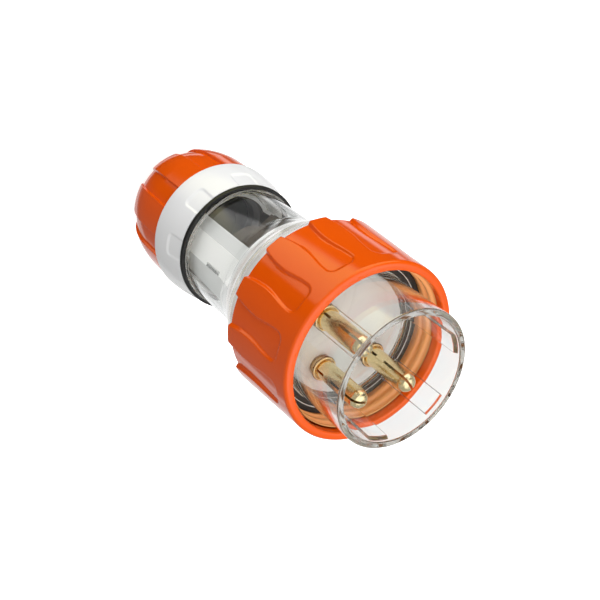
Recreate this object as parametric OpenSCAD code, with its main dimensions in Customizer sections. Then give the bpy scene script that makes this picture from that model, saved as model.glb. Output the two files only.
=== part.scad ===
// Straight weatherproof industrial plug with three round split pins.
// The plug's axis is Z. It stands on the flat end of its gland cap, with the pins up.
// Heights are measured from that end, and angles from +X.

/* [Shroud and pins] */
// Radial gap between the shroud and the root of the ring's thread
thread_gap = 5; // [4.5:0.1:6]
// Thickness of the shroud's wall
shroud_wall = 2.5; // [2:0.1:3]
// Depth from the shroud's rim to the pin plate
shroud_depth = 29.5; // [28:0.5:30]
// Thickness of the plate that the pins stand in
plate_t = 6; // [5:0.5:7]
// Diameter of a pin
pin_d = 7.1; // [6:0.1:8]
// Distance from the shroud's inside to the middle of a pin
pin_edge = 9.3; // [8.6:0.1:10]
// Distance from the shroud's rim down to the pins' tips
pin_inset = 7.5; // [5:0.5:10]
// Width of the slot that splits a pin
pin_slot_w = 0.9; // [0.6:0.1:1.2]
// Diameter of the terminal barrel behind a pin
barrel_d = 9.2; // [8.8:0.1:9.6]
// Angle that one locating key takes of the shroud
key_angle = 21; // [12:1:24]
// Height of a locating key above the shroud's inside
key_h = 1; // [0.6:0.1:1.2]

/* [Face gasket] */
// Depth from the shroud's rim to the gasket's face
gasket_depth = 30; // [29:0.5:31]
// Thickness of the face gasket
gasket_t = 2.4; // [2:0.1:3]

/* [Locking ring] */
// Outside diameter of the ring at its rear edge
ring_od = 71.4; // [71:0.2:74]
// How much the ring's radius narrows from its rear edge to its front
ring_taper = 1.4; // [0.4:0.1:2]
// Thickness of the ring's wall at its mouth, outside the thread
ring_wall = 3.3; // [2.8:0.1:4]
// Height of the ring's internal thread
thread_h = 0.95; // [0.6:0.05:1.2]
// Pitch of the ring's internal thread
thread_pitch = 4; // [3:0.25:5]
// Length of the ring
ring_length = 36; // [34:0.5:38]
// Distance from the shroud's rim back to the ring's front
ring_setback = 17.5; // [14:0.5:20]
// Radius of the rounded front edge
ring_lip_r = 2; // [1:0.25:2.5]
// Number of grip recesses around the ring
recess_count = 12; // [8:1:14]
// Depth of a recess at the ring's rear edge
recess_depth = 1.4; // [0.8:0.1:1.6]
// Width of a recess at the ring's rear edge
recess_rear_w = 12; // [10:0.5:14]
// Width of a recess at its waist
recess_waist_w = 8.8; // [7:0.2:10]
// Width of a recess near its closed end
recess_front_w = 11.4; // [10:0.2:13]
// Length of a recess, from the rear edge to its closed end
recess_length = 29.5; // [24:0.5:31]

/* [Rear housing] */
// Outside diameter of the clear neck
neck_od = 49.2; // [48:0.2:50]
// Thickness of the neck's wall
neck_wall = 2.6; // [2:0.1:3]
// Length of the straight neck that shows
neck_length = 25; // [20:1:36]
// Length of the shoulder that widens from the neck
shoulder_length = 22; // [18:0.5:26]
// Thickness of the ring's wall around the housing's flange
ring_rear_wall = 2.7; // [2.4:0.1:3.2]

/* [Terminal cover] */
// Gap between the cover's corners and the neck around it
cover_gap = 2.1; // [1:0.1:3]
// Thickness of the cover's wall
cover_wall = 1.6; // [1.2:0.1:2]
// Number of flats around the cover
cover_flats = 12; // [8:1:16]
// Angle that the cover's window takes of its side
window_angle = 108; // [60:4:140]

/* [Cord clamp] */
// Length of the clamp along the cord
clamp_length = 20; // [10:1:24]
// Diameter of the clamp's two screws
clamp_screw_d = 3; // [2.5:0.5:3.5]
// Thickness of the clamp's bar
bar_t = 2.6; // [2.2:0.1:3]

/* [Gland collar] */
// Outside diameter of the white collar
collar_od = 57.8; // [57:0.2:60]
// Outside diameter of the collar's front edge
collar_front_od = 53.2; // [52:0.2:55]
// Length of the part of the collar that shows
collar_length = 17.3; // [15:0.5:20]
// Number of finger pockets around the collar
pocket_count = 8; // [6:1:12]
// Depth of a finger pocket
pocket_depth = 0.6; // [0.3:0.1:0.9]
// Thickness of the black seal in front of the collar
seal_t = 2; // [1.5:0.25:3]

/* [Gland cap] */
// Outside diameter of the cap where it meets the collar
cap_od = 56.4; // [55.6:0.2:58]
// Diameter of the flat end that the plug stands on
cap_end_d = 35; // [30:1:40]
// Length of the cap
cap_length = 34.8; // [32:0.4:40]
// Height of the cap's domed part
dome_h = 24; // [20:1:26]
// Thickness of the cap's end wall
cap_floor_t = 5; // [4:0.5:6]
// Number of grip flutes around the cap
flute_count = 8; // [6:1:10]
// Angle that one flute takes of the cap
flute_angle = 19.5; // [14:0.5:24]
// Depth of a flute
flute_depth = 1.1; // [0.6:0.1:1.3]
// Diameter of the cable hole in the cap
cable_hole_d = 21; // [19.5:0.5:24]

/* [Gland insides] */
// Diameter of the hole in the rubber grommet
grommet_bore_d = 19; // [12:0.5:20]
// Outside diameter of the grip cage around the grommet
cage_od = 38; // [36:0.5:39]
// Wall of the grip cage
cage_wall = 2.4; // [1.8:0.1:3]
// Number of fingers on the grip cage
finger_count = 10; // [6:1:14]

/* [Fits] */
// Gap between flat faces that meet across a joint
face_gap = 0.2; // [0.1:0.05:0.4]
// Radial gap between parts that turn or screw on each other
turn_gap = 0.1; // [0.05:0.05:0.2]
// Gap around parts that are laid into another
lay_gap = 0.15; // [0.1:0.05:0.25]

/* [Hidden] */
$fn = 96;
eps = 0.01;

// Heights, from the cap's end upwards
collar_z = cap_length + face_gap;
collar_top = collar_z + collar_length;
seal_z = collar_top + face_gap / 2;
seal_top = seal_z + seal_t;
bead_h = 1.6;
neck_z = seal_top + bead_h;
shoulder_z = neck_z + neck_length;
flange_z = shoulder_z + shoulder_length;
ring_cover = 3.5;
ring_z = flange_z + ring_cover;
ring_front = ring_z + ring_length;
rim_z = ring_front + ring_setback;
plate_z = rim_z - shroud_depth;
plate_back = plate_z - plate_t;
gasket_z = rim_z - gasket_depth;
gasket_back = gasket_z - gasket_t;
body_flange_t = 5;
body_flange_z = gasket_back - body_flange_t;
ring_lip_top = body_flange_z - face_gap;
ring_lip_t = 4.4;
ring_lip_z = ring_lip_top - ring_lip_t;
housing_top = ring_lip_z - face_gap;

// Radii
ring_clear = 0.4;
ring_rear_r = ring_od / 2;
ring_front_r = ring_rear_r - ring_taper;
mouth_r = ring_front_r - ring_wall;
shroud_r = mouth_r - thread_gap;
shroud_in = shroud_r - shroud_wall;
body_flange_r = mouth_r - ring_clear;
skirt_r = shroud_r + 1;
skirt_in = skirt_r - 2.6;
lip_in = skirt_r + turn_gap;
neck_r = neck_od / 2;
neck_in = neck_r - neck_wall;
ring_rear_in = ring_rear_r - ring_rear_wall;
flange_r = ring_rear_in - ring_clear;
thread_r = neck_r - 0.3;
spigot_r = 23.4;
spigot_in = cage_od / 2 + lay_gap;
cap_in = spigot_r + turn_gap;
cap_r = cap_od / 2;
cap_end_r = cap_end_d / 2;
pin_r = pin_d / 2;
pin_at = shroud_in - pin_edge;
barrel_r = barrel_d / 2;

// Angles of the pins and of the keys inside the shroud
left_a = 180;
right_a = 0;
earth_a = 90;
key_angles = [0, 180, -118, 118];

// Points of an arc, from angle a0 to a1
function arc(cx, cy, r, a0, a1, steps = 6) =
    [for (i = [0:steps]) let (a = a0 + (a1 - a0) * i / steps) [cx + r * cos(a), cy + r * sin(a)]];

module turned(points, angle = 360) {
    rotate_extrude(angle = angle) polygon(points);
}

module tube(r_out, r_in, h) {
    difference() {
        cylinder(r = r_out, h = h);
        translate([0, 0, -eps]) cylinder(r = r_in, h = h + 2 * eps);
    }
}

// A cross-slotted pan head screw along +Z: the head's seat is at zero and the shank goes up
module pan_screw(d, shank, head_d, head_h) {
    difference() {
        union() {
            cylinder(r = d / 2, h = shank, $fn = 32);
            turned(concat([[0, 0], [head_d / 2, 0]],
                arc(head_d / 2 - head_h * 0.6, -head_h * 0.4, head_h * 0.6, 0, -90, 4),
                [[0, -head_h]]), $fn = 32);
        }
        for (a = [0, 90]) rotate([0, 0, a])
            translate([-head_d * 0.3, -head_d * 0.06, -head_h - eps])
            cube([head_d * 0.6, head_d * 0.12, head_h * 0.5]);
    }
}

// Clear front moulding: shroud, pin plate, flange for the gasket, and the skirt behind it

pin_root_r = pin_r + 0.25;
counterbore_r = pin_r + 0.85;
counterbore_h = 0.8;
pin_collar_r = barrel_r + 0.6;
boss_r = min(4, pin_at - pin_collar_r - 0.5);
boss_h = 1.6;
screw_d = 3;
screw_head_d = 6;
root_r = shroud_r + 0.3;
seal_seat_z = flange_z - 6;
housing_seal_t = 2;
skirt_z = seal_seat_z + housing_seal_t;

module shroud_key() {
    rotate([0, 0, -key_angle / 2])
        turned([[shroud_in - key_h, plate_z - eps], [shroud_in + eps, plate_z - eps],
            [shroud_in + eps, rim_z - 1.2], [shroud_in - key_h, rim_z - 1.2 - key_h]], key_angle);
}

module at_pin(angle) {
    rotate([0, 0, angle]) translate([pin_at, 0, 0]) children();
}

module shroud_body() {
    edge = 0.5;
    color([0.86, 0.88, 0.88, 0.35]) difference() {
        union() {
            turned(concat(
                [[0, plate_back], [skirt_in, plate_back], [skirt_in, skirt_z], [skirt_r, skirt_z],
                [skirt_r, body_flange_z], [body_flange_r, body_flange_z],
                [body_flange_r, gasket_back], [root_r, gasket_back], [root_r, gasket_z],
                [shroud_r, gasket_z]],
                arc(shroud_r - edge, rim_z - edge, edge, 0, 90, 3),
                arc(shroud_in + edge, rim_z - edge, edge, 90, 180, 3),
                [[shroud_in, plate_z], [0, plate_z]]));
            for (a = key_angles) rotate([0, 0, a]) shroud_key();
            translate([0, 0, plate_back - boss_h]) cylinder(r = boss_r, h = boss_h + eps);
        }
        for (a = [left_a, right_a, earth_a]) at_pin(a) {
            translate([0, 0, plate_back - eps])
                cylinder(r = pin_root_r + 0.03, h = plate_t + 2 * eps, $fn = 48);
            translate([0, 0, plate_z - counterbore_h])
                cylinder(r = counterbore_r, h = counterbore_h + eps, $fn = 48);
        }
        translate([0, 0, plate_back - boss_h - eps])
            cylinder(r = screw_d / 2, h = boss_h + plate_t - 1.5, $fn = 32);
    }
}

// Brass pin with its collar and terminal barrel, turned as one piece

tip_z = rim_z - pin_inset;
barrel_z = plate_back - boss_h - 16.5;
wire_hole_r = 2.9;
wire_hole_h = 12;
terminal_screw_d = 4;
screw_heights = [barrel_z + 4, barrel_z + 9.5];
tip_slot = 13.2;
bridge = 4.1;
root_slot = 3.7;
slot_turn = -12;
earth_slot_a = 28;

module pin(turn) {
    dome = 3.2;
    difference() {
        union() {
            turned(concat(
                [[0, barrel_z], [barrel_r - 0.5, barrel_z], [barrel_r, barrel_z + 0.5],
                [barrel_r, plate_back - boss_h - 0.2], [pin_collar_r, plate_back - boss_h - 0.2],
                [pin_collar_r, plate_back - 0.05], [pin_root_r, plate_back - 0.05],
                [pin_root_r, plate_z], [pin_r, plate_z]],
                [for (i = [0:6]) let (a = 90 * i / 6)
                    [pin_r * (0.28 + 0.72 * cos(a)), tip_z - dome + dome * sin(a)]],
                [[0, tip_z]]), $fn = 48);
        }
        rotate([0, 0, turn]) {
            translate([-pin_r - 1, -pin_slot_w / 2, tip_z - tip_slot])
                cube([2 * pin_r + 2, pin_slot_w, tip_slot + 1]);
            translate([-pin_r - 1, -pin_slot_w / 2, tip_z - tip_slot - bridge - root_slot])
                cube([2 * pin_r + 2, pin_slot_w, root_slot]);
        }
        translate([0, 0, barrel_z - eps])
            cylinder(r = wire_hole_r, h = wire_hole_h, $fn = 32);
        for (z = screw_heights) translate([0, 0, z]) rotate([0, 90, 0])
            cylinder(r = terminal_screw_d / 2, h = barrel_r + 1, $fn = 32);
    }
}

module pin_left() {
    color([0.8, 0.66, 0.33]) at_pin(left_a) pin(slot_turn);
}

module pin_right() {
    color([0.8, 0.66, 0.33]) at_pin(right_a) pin(slot_turn);
}

module pin_earth() {
    color([0.8, 0.66, 0.33]) at_pin(earth_a) pin(earth_slot_a - earth_a);
}

module terminal_screws(angle) {
    shank = 4.2;
    color([0.72, 0.72, 0.7]) at_pin(angle) for (z = screw_heights)
        translate([1.4, 0, z]) rotate([0, 90, 0]) difference() {
            cylinder(r = terminal_screw_d / 2 - 0.03, h = shank, $fn = 32);
            translate([-terminal_screw_d, -0.4, shank - 1])
                cube([2 * terminal_screw_d, 0.8, 2]);
        }
}

module left_terminal_screws() {
    terminal_screws(left_a);
}

module right_terminal_screws() {
    terminal_screws(right_a);
}

module earth_terminal_screws() {
    terminal_screws(earth_a);
}

// Plate behind the collars of the pins, held by one screw

retainer_t = 3;
retainer_top = plate_back - boss_h - 0.25;
retainer_r = skirt_in - lay_gap;

module pin_retainer() {
    color([0.88, 0.88, 0.84]) difference() {
        translate([0, 0, retainer_top - retainer_t]) cylinder(r = retainer_r, h = retainer_t);
        for (a = [left_a, right_a, earth_a]) at_pin(a)
            translate([0, 0, retainer_top - retainer_t - eps])
            cylinder(r = barrel_r + lay_gap, h = retainer_t + 2 * eps, $fn = 48);
        translate([0, 0, retainer_top - retainer_t - eps])
            cylinder(r = screw_d / 2 + lay_gap, h = retainer_t + 2 * eps, $fn = 32);
    }
}

module retainer_screw() {
    color([0.72, 0.72, 0.7]) translate([0, 0, retainer_top - retainer_t - 0.05])
        pan_screw(screw_d - 0.06, retainer_t + boss_h + plate_t - 2.5, screw_head_d, 2.2);
}

// Rubber gasket that the socket's rim closes on

module face_gasket() {
    groove_r = (shroud_r + body_flange_r) / 2;
    color([0.13, 0.13, 0.12]) turned([
        [root_r + 0.02, gasket_back + 0.02], [body_flange_r, gasket_back + 0.02],
        [body_flange_r, gasket_z - 0.4], [body_flange_r - 0.4, gasket_z],
        [groove_r + 0.35, gasket_z], [groove_r, gasket_z - 0.5], [groove_r - 0.35, gasket_z],
        [root_r + 0.02, gasket_z]]);
}

// Locking ring: it turns on the skirt and is trapped behind the front moulding's flange

recess_top = ring_z + recess_length;
recess_phase = 1.3;

// Half of the thread's ridge across, from its root to its crest
ridge = [[0, 1.1], [thread_h, 0.5], [thread_h, -0.5], [0, -1.1]];
thread_z = gasket_z + 2.2;
thread_count = floor((ring_front - 2 - thread_z) / thread_pitch) + 1;

function ring_r(z) = ring_front_r + (ring_rear_r - ring_front_r) * (ring_front - z) / ring_length;

// Half the width of a recess, from its rear edge at t = 0 to its closed end at t = 1
function recess_half(t) = let (waist_t = 0.42) t < waist_t
    ? recess_waist_w / 2 + (recess_rear_w - recess_waist_w) / 2 * pow(1 - t / waist_t, 2)
    : recess_waist_w / 2 + (recess_front_w - recess_waist_w) / 2
        * pow(sin(90 * min(1, (t - waist_t) / 0.45)), 2);

module recess_outline() {
    corner = 3.2;
    straight = recess_length - corner;
    side = [for (i = [0:12]) let (t = i / 12) [recess_half(t * straight / recess_length),
        t * straight]];
    tip = recess_half(straight / recess_length);
    cap_arc = arc(tip - corner, straight, corner, 0, 90, 4);
    half = concat([[recess_rear_w / 2 + 0.3, -1]], side, cap_arc);
    polygon(concat(half, [for (i = [len(half) - 1:-1:0]) [-half[i][0], half[i][1]]]));
}

module recess() {
    shallow = recess_depth * 0.45;
    difference() {
        translate([0, 0, ring_z]) rotate([90, 0, 90]) linear_extrude(ring_rear_r + 4)
            recess_outline();
        translate([0, 0, ring_z - 2]) cylinder(h = ring_length + 4,
            r1 = ring_r(ring_z) - recess_depth, r2 = ring_r(recess_top) - shallow);
    }
}

module locking_ring() {
    color([0.91, 0.33, 0.06]) difference() {
        turned(concat(
            [[ring_rear_in, ring_z], [ring_rear_r - 0.6, ring_z], [ring_rear_r, ring_z + 0.6]],
            arc(ring_front_r - ring_lip_r, ring_front - ring_lip_r, ring_lip_r, 0, 90),
            [[mouth_r + 0.5, ring_front], [mouth_r, ring_front - 0.5]],
            [for (i = [thread_count - 1:-1:0]) for (p = ridge)
                [mouth_r - p[0], thread_z + i * thread_pitch + p[1]]],
            [[mouth_r, ring_lip_top], [lip_in, ring_lip_top], [lip_in, ring_lip_z],
            [ring_rear_in, ring_lip_z]]));
        for (i = [0:recess_count - 1]) rotate([0, 0, recess_phase + i * 360 / recess_count])
            recess();
    }
}

// Clear rear moulding: threaded end, neck, shoulder and the flange around the skirt

housing_bottom = collar_z + 5;
ledge_z = flange_z - 14;
ledge_w = 1.2;

function shoulder_r(t) = neck_r + (flange_r - neck_r) * pow(t, 1.35);

// Bore above the ledge, kept inside the shoulder's wall
bore_r = min(skirt_in, shoulder_r((ledge_z - shoulder_z) / shoulder_length) - 2.2);

module rear_housing() {
    bead = 0.7;
    step_t = 0.62;
    step_h = 0.5;
    bottom = housing_bottom;
    lip = 2;
    neck_lip_in = neck_in - 1.4;
    outer = concat(
        [for (i = [0:6]) let (t = step_t * i / 6) [shoulder_r(t), shoulder_z + t * shoulder_length]],
        [for (i = [0:5]) let (t = step_t + (1 - step_t) * i / 5)
            [shoulder_r(t) + step_h * (1 - i / 5), shoulder_z + t * shoulder_length + 0.15]]);
    color([0.86, 0.88, 0.88, 0.35]) turned(concat(
        [[neck_lip_in, bottom], [thread_r, bottom], [thread_r, seal_z], [neck_r, seal_z],
        [neck_r, seal_top], [neck_r + bead, seal_top + 0.02],
        [neck_r + bead, neck_z - 0.5], [neck_r, neck_z]],
        outer,
        [[flange_r, ring_z + 1.5], [body_flange_r - 0.6, ring_z + 2.5],
        [body_flange_r - 0.6, housing_top], [skirt_r + 0.05, housing_top],
        [skirt_r + 0.05, seal_seat_z], [bore_r, seal_seat_z], [bore_r, ledge_z],
        [bore_r - ledge_w, ledge_z], [neck_in, ledge_z - 6], [neck_in, bottom + lip + 1.4],
        [neck_lip_in, bottom + lip]]));
}

module housing_seal() {
    color([0.78, 0.75, 0.66]) turned(arc((skirt_in + skirt_r) / 2, seal_seat_z + housing_seal_t / 2,
        housing_seal_t / 2 - 0.02, 0, 345, 23));
}

// White cover around the terminals' cores, hung from the housing's ledge, with a window in its side

cover_r = min(neck_in, bore_r - 2 * ledge_w) - cover_gap;
cover_flat = cover_r * cos(180 / cover_flats);
cover_in = cover_flat - cover_wall;
cover_z = housing_bottom + 3.6;
cover_top = ledge_z + 2;
cover_turn = 10;
window_from = -5;
window_z = seal_top;
window_end = 2;

module terminal_cover() {
    color([0.93, 0.93, 0.92]) difference() {
        union() {
            translate([0, 0, cover_z]) rotate([0, 0, cover_turn])
                cylinder(r = cover_r, h = cover_top - cover_z, $fn = cover_flats);
            translate([0, 0, ledge_z + 0.05])
                cylinder(r = bore_r - lay_gap, h = cover_top - ledge_z - 0.05);
        }
        translate([0, 0, cover_z - 1]) cylinder(r = cover_in, h = cover_top - cover_z + 2);
        rotate([0, 0, window_from - window_angle]) turned([
            [cover_in - 2, window_z], [cover_r + 1, window_z],
            [cover_r + 1, ledge_z - window_end], [cover_in - 2, ledge_z - window_end]],
            window_angle);
    }
}

// Cord clamp inside the cover: a half-round saddle, and a bar that two screws pull on to it

clamp_z = neck_z + 4;
saddle_r = cover_in - lay_gap;
saddle_face = -1;
lug_r = 3.4;
clamp_head_d = clamp_screw_d * 1.8;
clamp_screw_y = saddle_r - 4;
clamp_r = clamp_screw_y - clamp_head_d / 2 - bar_t - lay_gap;
screw_grip = 6;

module saddle_screws() {
    for (y = [-clamp_screw_y, clamp_screw_y])
        translate([0, y, clamp_z + clamp_length / 2]) rotate([0, 90, 0]) children();
}

module clamp_saddle() {
    color([0.2, 0.18, 0.16]) difference() {
        intersection() {
            translate([0, 0, clamp_z]) cylinder(r = saddle_r, h = clamp_length);
            translate([saddle_face - 2 * saddle_r, -saddle_r, clamp_z])
                cube([2 * saddle_r, 2 * saddle_r, clamp_length]);
        }
        translate([0, 0, clamp_z - 1]) cylinder(r = clamp_r + 0.2, h = clamp_length + 2);
        saddle_screws() translate([0, 0, saddle_face - screw_grip - 2])
            cylinder(r = clamp_screw_d / 2, h = screw_grip + 3, $fn = 32);
    }
}

bar_face = saddle_face + 0.25;
bar_inset = 1;

module clamp_bar() {
    bar_h = clamp_length - 2 * bar_inset;
    color([0.2, 0.18, 0.16]) difference() {
        union() {
            intersection() {
                translate([0, 0, clamp_z + bar_inset]) cylinder(r = clamp_r + bar_t, h = bar_h);
                translate([bar_face, -saddle_r, clamp_z])
                    cube([2 * saddle_r, 2 * saddle_r, clamp_length]);
            }
            translate([bar_face, -clamp_screw_y - lug_r, clamp_z + bar_inset])
                cube([bar_t, 2 * (clamp_screw_y + lug_r), bar_h]);
        }
        translate([0, 0, clamp_z]) cylinder(r = clamp_r + 0.2, h = clamp_length);
        saddle_screws() translate([0, 0, bar_face - 1])
            cylinder(r = clamp_screw_d / 2 + lay_gap, h = bar_t + 2, $fn = 32);
    }
}

module clamp_screws() {
    color([0.72, 0.72, 0.7]) saddle_screws()
        translate([0, 0, bar_face + bar_t + 0.05]) rotate([180, 0, 0])
        pan_screw(clamp_screw_d - 0.06, bar_t + screw_grip, clamp_head_d, clamp_screw_d * 0.65);
}

// Rubber seal between the neck's bead and the collar

module collar_seal() {
    r_out = collar_front_od / 2;
    color([0.07, 0.07, 0.07]) turned(concat(
        [[neck_r + 0.03, seal_z], [r_out - 0.5, seal_z]],
        arc(r_out - 0.5, seal_z + 0.5, 0.5, -90, 0, 3),
        arc(r_out - 0.5, seal_top - 0.52, 0.5, 0, 90, 3),
        [[neck_r + 0.03, seal_top - 0.02]]));
}

// White collar: it screws on to the neck, and the cap screws on to its spigot

collar_r = collar_od / 2;
collar_front_r = collar_front_od / 2;
web_top = collar_z + 4.8;
cage_flange_t = 2.2;
cage_flange_r = cage_od / 2 + 2.2;
spigot_z = 12;

function collar_edge(t) = collar_r - (collar_r - collar_front_r) * pow(t, 1.6);

module collar_pocket() {
    angle = 20;
    t0 = 0.52;
    pocket = concat(
        [for (i = [0:6]) let (t = t0 + (1.1 - t0) * i / 6)
            [collar_edge(t) - pocket_depth * min(1, i * 2), collar_z + t * collar_length]],
        [[collar_r + 2, collar_z + 1.1 * collar_length], [collar_r + 2, collar_z + t0 * collar_length]]);
    rotate([0, 0, -angle / 2]) turned(pocket, angle);
}

module gland_collar() {
    rim = 0.4;
    color([0.93, 0.93, 0.92]) difference() {
        turned(concat(
            [[spigot_in, spigot_z], [spigot_r - 0.8, spigot_z], [spigot_r, spigot_z + 0.8],
            [spigot_r, collar_z], [collar_r - rim, collar_z]],
            [for (i = [0:8]) let (t = max(0.03, i / 8)) [collar_edge(t), collar_z + t * collar_length]],
            [[thread_r + turn_gap, collar_top], [thread_r + turn_gap, web_top],
            [cage_flange_r + lay_gap, web_top],
            [cage_flange_r + lay_gap, web_top - cage_flange_t - lay_gap],
            [spigot_in, web_top - cage_flange_t - lay_gap]]));
        for (i = [0:pocket_count - 1]) rotate([0, 0, -8.7 + i * 360 / pocket_count])
            collar_pocket();
    }
}

// Split cage that the cap squeezes on to the grommet

cage_z = cap_floor_t + 3.2;
finger_h = 12;

module grip_cage() {
    r_out = cage_od / 2;
    color([0.35, 0.36, 0.37]) difference() {
        turned([[r_out - cage_wall, cage_z], [r_out - 1, cage_z], [r_out, cage_z + 2],
            [r_out, web_top - cage_flange_t - 0.05], [cage_flange_r, web_top - cage_flange_t - 0.05],
            [cage_flange_r, web_top - 0.1], [r_out - cage_wall, web_top - 0.1]]);
        for (i = [0:finger_count - 1]) rotate([0, 0, i * 360 / finger_count])
            translate([r_out - cage_wall - 1, -0.6, cage_z - 1]) cube([cage_wall + 2, 1.2, finger_h + 1]);
    }
}

module gland_grommet() {
    r_out = cage_od / 2 - cage_wall - lay_gap;
    z0 = cage_z + 0.8;
    z1 = web_top - 3;
    round_r = 1.5;
    cord_r = grommet_bore_d / 2;
    color([0.1, 0.1, 0.1]) turned(concat(
        [[cord_r, z0], [r_out - round_r, z0]],
        arc(r_out - round_r, z0 + round_r, round_r, -90, 0, 4),
        arc(r_out - round_r, z1 - round_r, round_r, 0, 90, 4),
        [[cord_r, z1]]));
}

// Washer that lets the cap turn on the cage without dragging it

module slip_washer() {
    color([0.8, 0.8, 0.76]) translate([0, 0, cap_floor_t + face_gap])
        tube(cap_in - 3.4, cable_hole_d / 2 + 0.6, 1.6);
}

// Fluted gland cap: domed end with the cable hole, and the bore that screws on to the collar

function dome_r(z) = z >= dome_h
    ? cap_r + 0.2 * (z - dome_h) / (cap_length - dome_h)
    : cap_end_r + (cap_r - cap_end_r) * sqrt(1 - pow(1 - z / dome_h, 2));

// Heights along the cap, closer together near its rounded end
cap_steps = [for (i = [0:10]) dome_h * pow(i / 10, 2)];
cap_profile = [for (z = cap_steps) [dome_r(z), z]];

module cap_flute() {
    inner = [for (z = cap_steps) if (z > 0.5) [dome_r(z) - flute_depth, z]];
    rotate([0, 0, -flute_angle / 2]) turned(concat(
        [[dome_r(0.5) - flute_depth, -1]], inner,
        [[dome_r(cap_length) - flute_depth, cap_length + 1], [cap_r + 3, cap_length + 1],
        [cap_r + 3, -1]]), flute_angle);
}

module gland_cap() {
    hole_r = cable_hole_d / 2;
    pocket_top = cap_floor_t + 4.5;
    color([0.91, 0.33, 0.06]) difference() {
        turned(concat(
            [[hole_r + 0.6, 0]], cap_profile,
            [[dome_r(cap_length), cap_length - 0.3], [dome_r(cap_length) - 0.3, cap_length],
            [cap_in, cap_length], [cap_in, pocket_top], [cap_in - 3, pocket_top],
            [cap_in - 3, cap_floor_t], [hole_r, cap_floor_t], [hole_r, 0.6]]));
        for (i = [0:flute_count - 1]) rotate([0, 0, 3.3 + i * 360 / flute_count]) cap_flute();
    }
}

shroud_body();
pin_left();
pin_right();
pin_earth();
left_terminal_screws();
right_terminal_screws();
earth_terminal_screws();
pin_retainer();
retainer_screw();
face_gasket();
locking_ring();
housing_seal();
rear_housing();
terminal_cover();
clamp_saddle();
clamp_bar();
clamp_screws();
collar_seal();
gland_collar();
grip_cage();
gland_grommet();
slip_washer();
gland_cap();
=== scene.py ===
"""Looks of a straight industrial plug with a clear shroud and a fluted locking ring.

The plug stands on its gland cap, with its axis along Z and its pins up. Lengths are in millimetres
until a mesh is made, and angles in degrees, where nothing else is said.
"""

import math

import bpy
import numpy as np
from mathutils import Matrix, Vector
from mathutils.geometry import delaunay_2d_cdt


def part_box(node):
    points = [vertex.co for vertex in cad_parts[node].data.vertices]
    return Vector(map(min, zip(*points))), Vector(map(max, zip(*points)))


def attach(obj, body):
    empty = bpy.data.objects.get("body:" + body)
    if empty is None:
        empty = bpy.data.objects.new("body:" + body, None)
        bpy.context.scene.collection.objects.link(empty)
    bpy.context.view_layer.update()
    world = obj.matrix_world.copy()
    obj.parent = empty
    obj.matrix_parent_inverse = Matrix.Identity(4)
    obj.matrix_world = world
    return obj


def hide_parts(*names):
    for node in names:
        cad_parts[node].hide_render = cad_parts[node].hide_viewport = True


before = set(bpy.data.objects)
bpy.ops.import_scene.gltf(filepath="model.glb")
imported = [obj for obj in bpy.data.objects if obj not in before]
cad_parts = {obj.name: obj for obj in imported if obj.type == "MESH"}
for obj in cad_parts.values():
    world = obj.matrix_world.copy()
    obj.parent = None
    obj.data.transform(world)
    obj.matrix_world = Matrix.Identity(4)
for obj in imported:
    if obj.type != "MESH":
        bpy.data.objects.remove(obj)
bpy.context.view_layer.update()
MM = 0.001


def span(node):
    """Lowest and highest corner of a CAD node, in millimetres."""
    low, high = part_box(node)
    return [v / MM for v in low], [v / MM for v in high]


# Camera of the photograph: where it stands, and its right, down and forward directions
CAMERA_AT = (256.04, 0.0, 362.49)
CAMERA_RIGHT = (-0.55793378, -0.63074565, 0.53932348)
CAMERA_DOWN = (-0.45082179, 0.77598388, 0.4411448)
CAMERA_FORWARD = (-0.69675649, 0.00299081, -0.71730151)
LENS = 60.0
SENSOR = 36.0

# Main sizes, from the frame
ring_low, ring_high = span("locking_ring")
shroud_low, shroud_high = span("shroud_body")
neck_low, neck_high = span("rear_housing")
collar_low, collar_high = span("gland_collar")
cap_low, cap_high = span("gland_cap")
seal_low, seal_high = span("collar_seal")
gasket_low, gasket_high = span("face_gasket")

RING_Z0, RING_Z1 = ring_low[2], ring_high[2]
RING_REAR_R = 35.7
RING_FRONT_R = 34.3
MOUTH_R = 31.0
RIM_Z = shroud_high[2]
SHROUD_R = 26.0
SHROUD_IN = 23.5
PLATE_Z = RIM_Z - 29.5
PLATE_BACK = PLATE_Z - 6.0
LINER_TOP = PLATE_BACK + 1.2
PIN_R = 3.55
PIN_AT = 14.2
PIN_ANGLES = (180, 0, 90)


# ---------------------------------------------------------------- meshes

def add_piece(name, verts, faces, body, slot, material, smooth_below=None):
    mesh = bpy.data.meshes.new(name)
    mesh.from_pydata([tuple(v) for v in np.asarray(verts) * MM], [], faces)
    mesh.validate()
    for p in mesh.polygons:
        p.use_smooth = True
    if smooth_below is not None:
        mesh.set_sharp_from_angle(angle=math.radians(smooth_below))
    piece = bpy.data.objects.new(name, mesh)
    bpy.context.scene.collection.objects.link(piece)
    mesh.materials.append(material)
    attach(piece, body)
    return piece


def grid_faces(rows, columns, close_rows):
    """Faces of a grid that closes on itself around its columns, and along its rows if asked."""
    faces = []
    last = rows if close_rows else rows - 1
    for i in range(last):
        a = i * columns
        b = ((i + 1) % rows) * columns
        for j in range(columns):
            k = (j + 1) % columns
            faces.append((a + j, a + k, b + k, b + j))
    return faces


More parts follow.
